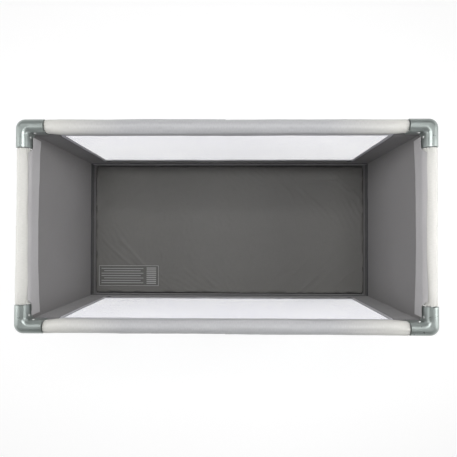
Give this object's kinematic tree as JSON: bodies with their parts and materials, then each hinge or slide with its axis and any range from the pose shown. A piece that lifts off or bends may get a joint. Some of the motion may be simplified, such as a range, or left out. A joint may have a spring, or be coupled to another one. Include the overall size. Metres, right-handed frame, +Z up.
{
  "type": "folding travel cot",
  "caption": "Folding travel cot with padded latching top rails, a folding base on a central hub, fabric walls with mesh windows and a panelled folding mattress.",
  "frame": {"origin": "centre of the cot's footprint, on the floor", "axes": "+X along the length to the right end, +Y across the width to the back side, +Z up"},
  "size_m": [1.262, 0.646, 0.76],
  "materials": {
    "casting_plastic": "satin moulded plastic",
    "post_paint": "satin powder coat",
    "foot_plastic": "fine grained moulded plastic over a rubber sole",
    "rivet_steel": "domed zinc-plated rivet",
    "rail_steel": "plated tube, hidden under the sleeve",
    "sleeve_fabric": "silvery woven cover over foam",
    "latch_plastic": "satin moulded plastic",
    "button_plastic": "fine grained moulded plastic",
    "base_paint": "satin powder coat",
    "hub_plastic": "fine grained moulded plastic",
    "strap_webbing": "woven webbing",
    "wall_fabric": "coated woven polyester",
    "window_mesh": "knitted netting",
    "floor_fabric": "coated woven polyester",
    "mattress_fabric": "soft brushed cover over foam"
  },
  "bodies": {
    "corner_fl": {"corner_casting_front_left": "casting_plastic", "post_tube_front_left": "post_paint", "foot_front_left": "foot_plastic", "corner_rivets_front_left": "rivet_steel", "end_wall_left": "wall_fabric", "side_wall_front": "wall_fabric", "mesh_window_front": "window_mesh"},
    "corner_fr": {"corner_casting_front_right": "casting_plastic", "post_tube_front_right": "post_paint", "foot_front_right": "foot_plastic", "corner_rivets_front_right": "rivet_steel", "end_wall_right": "wall_fabric"},
    "corner_bl": {"corner_casting_back_left": "casting_plastic", "post_tube_back_left": "post_paint", "foot_back_left": "foot_plastic", "corner_rivets_back_left": "rivet_steel", "side_wall_back": "wall_fabric", "mesh_window_back": "window_mesh"},
    "corner_br": {"corner_casting_back_right": "casting_plastic", "post_tube_back_right": "post_paint", "foot_back_right": "foot_plastic", "corner_rivets_back_right": "rivet_steel"},
    "front_rail_left": {"front_rail_left": "rail_steel", "front_sleeve_left": "sleeve_fabric"},
    "left_rail_front": {"left_rail_front": "rail_steel", "left_sleeve_front": "sleeve_fabric"},
    "front_rail_right": {"front_rail_right": "rail_steel", "front_sleeve_right": "sleeve_fabric"},
    "right_rail_front": {"right_rail_front": "rail_steel", "right_sleeve_front": "sleeve_fabric"},
    "back_rail_left": {"back_rail_left": "rail_steel", "back_sleeve_left": "sleeve_fabric"},
    "left_rail_back": {"left_rail_back": "rail_steel", "left_sleeve_back": "sleeve_fabric"},
    "back_rail_right": {"back_rail_right": "rail_steel", "back_sleeve_right": "sleeve_fabric"},
    "right_rail_back": {"right_rail_back": "rail_steel", "right_sleeve_back": "sleeve_fabric"},
    "latch_front": {"latch_housing_front": "latch_plastic"},
    "button_front": {"release_button_front": "button_plastic"},
    "latch_back": {"latch_housing_back": "latch_plastic"},
    "button_back": {"release_button_back": "button_plastic"},
    "latch_left": {"latch_housing_left": "latch_plastic"},
    "button_left": {"release_button_left": "button_plastic"},
    "latch_right": {"latch_housing_right": "latch_plastic"},
    "button_right": {"release_button_right": "button_plastic"},
    "base_tube_fl": {"base_tube_front_left": "base_paint", "floor_quarter_front_left": "floor_fabric"},
    "base_tube_fr": {"base_tube_front_right": "base_paint", "floor_quarter_front_right": "floor_fabric"},
    "base_tube_bl": {"base_tube_back_left": "base_paint", "floor_quarter_back_left": "floor_fabric"},
    "base_tube_br": {"base_tube_back_right": "base_paint", "floor_quarter_back_right": "floor_fabric"},
    "hub": {"base_hub": "hub_plastic", "pull_strap": "strap_webbing"},
    "mattress_1": {"mattress_panel_1": "mattress_fabric"},
    "mattress_2": {"mattress_panel_2": "mattress_fabric"},
    "mattress_3": {"mattress_panel_3": "mattress_fabric"},
    "mattress_4": {"mattress_panel_4": "mattress_fabric"}
  },
  "joints": [
    {"name": "frame_fold", "type": "hinge", "parent": "corner_fl", "child": "front_rail_left", "pos_m": [-0.575, -0.298, 0.735], "axis": [0, 1, 0], "range_deg": [0, 90], "deforming": ["end_wall_left", "end_wall_right", "side_wall_front", "mesh_window_front", "side_wall_back", "mesh_window_back", "front_sleeve_left", "left_sleeve_front", "front_sleeve_right", "right_sleeve_front", "back_sleeve_left", "left_sleeve_back", "back_sleeve_right", "right_sleeve_back", "floor_quarter_front_left", "floor_quarter_front_right", "floor_quarter_back_left", "floor_quarter_back_right", "mattress_panel_1", "mattress_panel_2", "mattress_panel_3", "mattress_panel_4"]},
    {"name": "latch_front_pivot", "type": "hinge", "parent": "front_rail_left", "child": "latch_front", "pos_m": [-0.057, -0.298, 0.735], "axis": [0, 1, 0], "range_deg": [-90, 0]},
    {"name": "front_rail_right_pivot", "type": "hinge", "parent": "latch_front", "child": "front_rail_right", "pos_m": [0.057, -0.298, 0.735], "axis": [0, 1, 0], "range_deg": [-90, 0]},
    {"name": "corner_fr_pivot", "type": "hinge", "parent": "front_rail_right", "child": "corner_fr", "pos_m": [0.575, -0.298, 0.735], "axis": [0, 1, 0], "range_deg": [0, 90]},
    {"name": "left_rail_front_pivot", "type": "hinge", "parent": "corner_fl", "child": "left_rail_front", "pos_m": [-0.606, -0.267, 0.735], "axis": [-1, 0, 0], "range_deg": [0, 90]},
    {"name": "latch_left_pivot", "type": "hinge", "parent": "left_rail_front", "child": "latch_left", "pos_m": [-0.606, -0.057, 0.735], "axis": [-1, 0, 0], "range_deg": [-90, 0]},
    {"name": "left_rail_back_pivot", "type": "hinge", "parent": "latch_left", "child": "left_rail_back", "pos_m": [-0.606, 0.057, 0.735], "axis": [-1, 0, 0], "range_deg": [-90, 0]},
    {"name": "corner_bl_pivot", "type": "hinge", "parent": "left_rail_back", "child": "corner_bl", "pos_m": [-0.606, 0.267, 0.735], "axis": [-1, 0, 0], "range_deg": [0, 90]},
    {"name": "back_rail_left_pivot", "type": "hinge", "parent": "corner_bl", "child": "back_rail_left", "pos_m": [-0.575, 0.298, 0.735], "axis": [0, 1, 0], "range_deg": [0, 90]},
    {"name": "latch_back_pivot", "type": "hinge", "parent": "back_rail_left", "child": "latch_back", "pos_m": [-0.057, 0.298, 0.735], "axis": [0, 1, 0], "range_deg": [-90, 0]},
    {"name": "back_rail_right_pivot", "type": "hinge", "parent": "latch_back", "child": "back_rail_right", "pos_m": [0.057, 0.298, 0.735], "axis": [0, 1, 0], "range_deg": [-90, 0]},
    {"name": "right_rail_front_pivot", "type": "hinge", "parent": "corner_fr", "child": "right_rail_front", "pos_m": [0.606, -0.267, 0.735], "axis": [-1, 0, 0], "range_deg": [0, 90]},
    {"name": "latch_right_pivot", "type": "hinge", "parent": "right_rail_front", "child": "latch_right", "pos_m": [0.606, -0.057, 0.735], "axis": [-1, 0, 0], "range_deg": [-90, 0]},
    {"name": "right_rail_back_pivot", "type": "hinge", "parent": "latch_right", "child": "right_rail_back", "pos_m": [0.606, 0.057, 0.735], "axis": [-1, 0, 0], "range_deg": [-90, 0]},
    {"name": "corner_br_pivot", "type": "hinge", "parent": "right_rail_back", "child": "corner_br", "pos_m": [0.606, 0.267, 0.735], "axis": [-1, 0, 0], "range_deg": [0, 90]},
    {"name": "base_tube_fl_pivot", "type": "hinge", "parent": "corner_fl", "child": "base_tube_fl", "pos_m": [-0.568, -0.26, 0.034], "axis": [0.3757, -0.9267, 0], "range_deg": [0, 90]},
    {"name": "hub_pivot", "type": "hinge", "parent": "base_tube_fl", "child": "hub", "pos_m": [-0.05, -0.05, 0.034], "axis": [0.3757, -0.9267, 0], "range_deg": [-90, 0]},
    {"name": "base_tube_fr_pivot", "type": "hinge", "parent": "hub", "child": "base_tube_fr", "pos_m": [0.05, -0.05, 0.034], "axis": [0.3757, 0.9267, 0], "range_deg": [0, 90]},
    {"name": "base_tube_bl_pivot", "type": "hinge", "parent": "hub", "child": "base_tube_bl", "pos_m": [-0.05, 0.05, 0.034], "axis": [-0.3757, -0.9267, 0], "range_deg": [0, 90]},
    {"name": "base_tube_br_pivot", "type": "hinge", "parent": "hub", "child": "base_tube_br", "pos_m": [0.05, 0.05, 0.034], "axis": [-0.3757, 0.9267, 0], "range_deg": [0, 90]},
    {"name": "mattress_lift", "type": "slide", "parent": "hub", "child": "mattress_2", "axis": [0, 0, 1], "range_m": [0, 0.152]},
    {"name": "mattress_fold", "type": "hinge", "parent": "mattress_2", "child": "mattress_3", "pos_m": [0, 0, 0.081], "axis": [0, -1, 0], "range_deg": [0, 90]},
    {"name": "mattress_seam_left", "type": "hinge", "parent": "mattress_2", "child": "mattress_1", "pos_m": [-0.292, 0, 0.081], "axis": [0, 1, 0], "range_deg": [0, 90]},
    {"name": "mattress_seam_right", "type": "hinge", "parent": "mattress_3", "child": "mattress_4", "pos_m": [0.292, 0, 0.081], "axis": [0, -1, 0], "range_deg": [0, 90]},
    {"name": "button_front_press", "type": "slide", "parent": "latch_front", "child": "button_front", "axis": [0, 0, 1], "range_m": [0, 0.006], "stiffness_N_per_m": 800},
    {"name": "button_back_press", "type": "slide", "parent": "latch_back", "child": "button_back", "axis": [0, 0, 1], "range_m": [0, 0.006], "stiffness_N_per_m": 800},
    {"name": "button_left_press", "type": "slide", "parent": "latch_left", "child": "button_left", "axis": [0, 0, 1], "range_m": [0, 0.006], "stiffness_N_per_m": 800},
    {"name": "button_right_press", "type": "slide", "parent": "latch_right", "child": "button_right", "axis": [0, 0, 1], "range_m": [0, 0.006], "stiffness_N_per_m": 800}
  ],
  "couplings": [
    {"joint": "latch_front_pivot", "follows": "frame_fold", "ratio": -1},
    {"joint": "front_rail_right_pivot", "follows": "frame_fold", "ratio": -1},
    {"joint": "corner_fr_pivot", "follows": "frame_fold", "ratio": 1},
    {"joint": "left_rail_front_pivot", "follows": "frame_fold", "ratio": 1},
    {"joint": "latch_left_pivot", "follows": "frame_fold", "ratio": -1},
    {"joint": "left_rail_back_pivot", "follows": "frame_fold", "ratio": -1},
    {"joint": "corner_bl_pivot", "follows": "frame_fold", "ratio": 1},
    {"joint": "back_rail_left_pivot", "follows": "frame_fold", "ratio": 1},
    {"joint": "latch_back_pivot", "follows": "frame_fold", "ratio": -1},
    {"joint": "back_rail_right_pivot", "follows": "frame_fold", "ratio": -1},
    {"joint": "right_rail_front_pivot", "follows": "frame_fold", "ratio": 1},
    {"joint": "latch_right_pivot", "follows": "frame_fold", "ratio": -1},
    {"joint": "right_rail_back_pivot", "follows": "frame_fold", "ratio": -1},
    {"joint": "corner_br_pivot", "follows": "frame_fold", "ratio": 1},
    {"joint": "base_tube_fl_pivot", "follows": "frame_fold", "ratio": 1},
    {"joint": "hub_pivot", "follows": "frame_fold", "ratio": -1},
    {"joint": "base_tube_fr_pivot", "follows": "frame_fold", "ratio": 1},
    {"joint": "base_tube_bl_pivot", "follows": "frame_fold", "ratio": 1},
    {"joint": "base_tube_br_pivot", "follows": "frame_fold", "ratio": 1},
    {"joint": "mattress_lift", "follows": "frame_fold", "m_per_rad": 0.096},
    {"joint": "mattress_seam_left", "follows": "mattress_fold", "ratio": 1},
    {"joint": "mattress_seam_right", "follows": "mattress_fold", "ratio": 1}
  ]
}
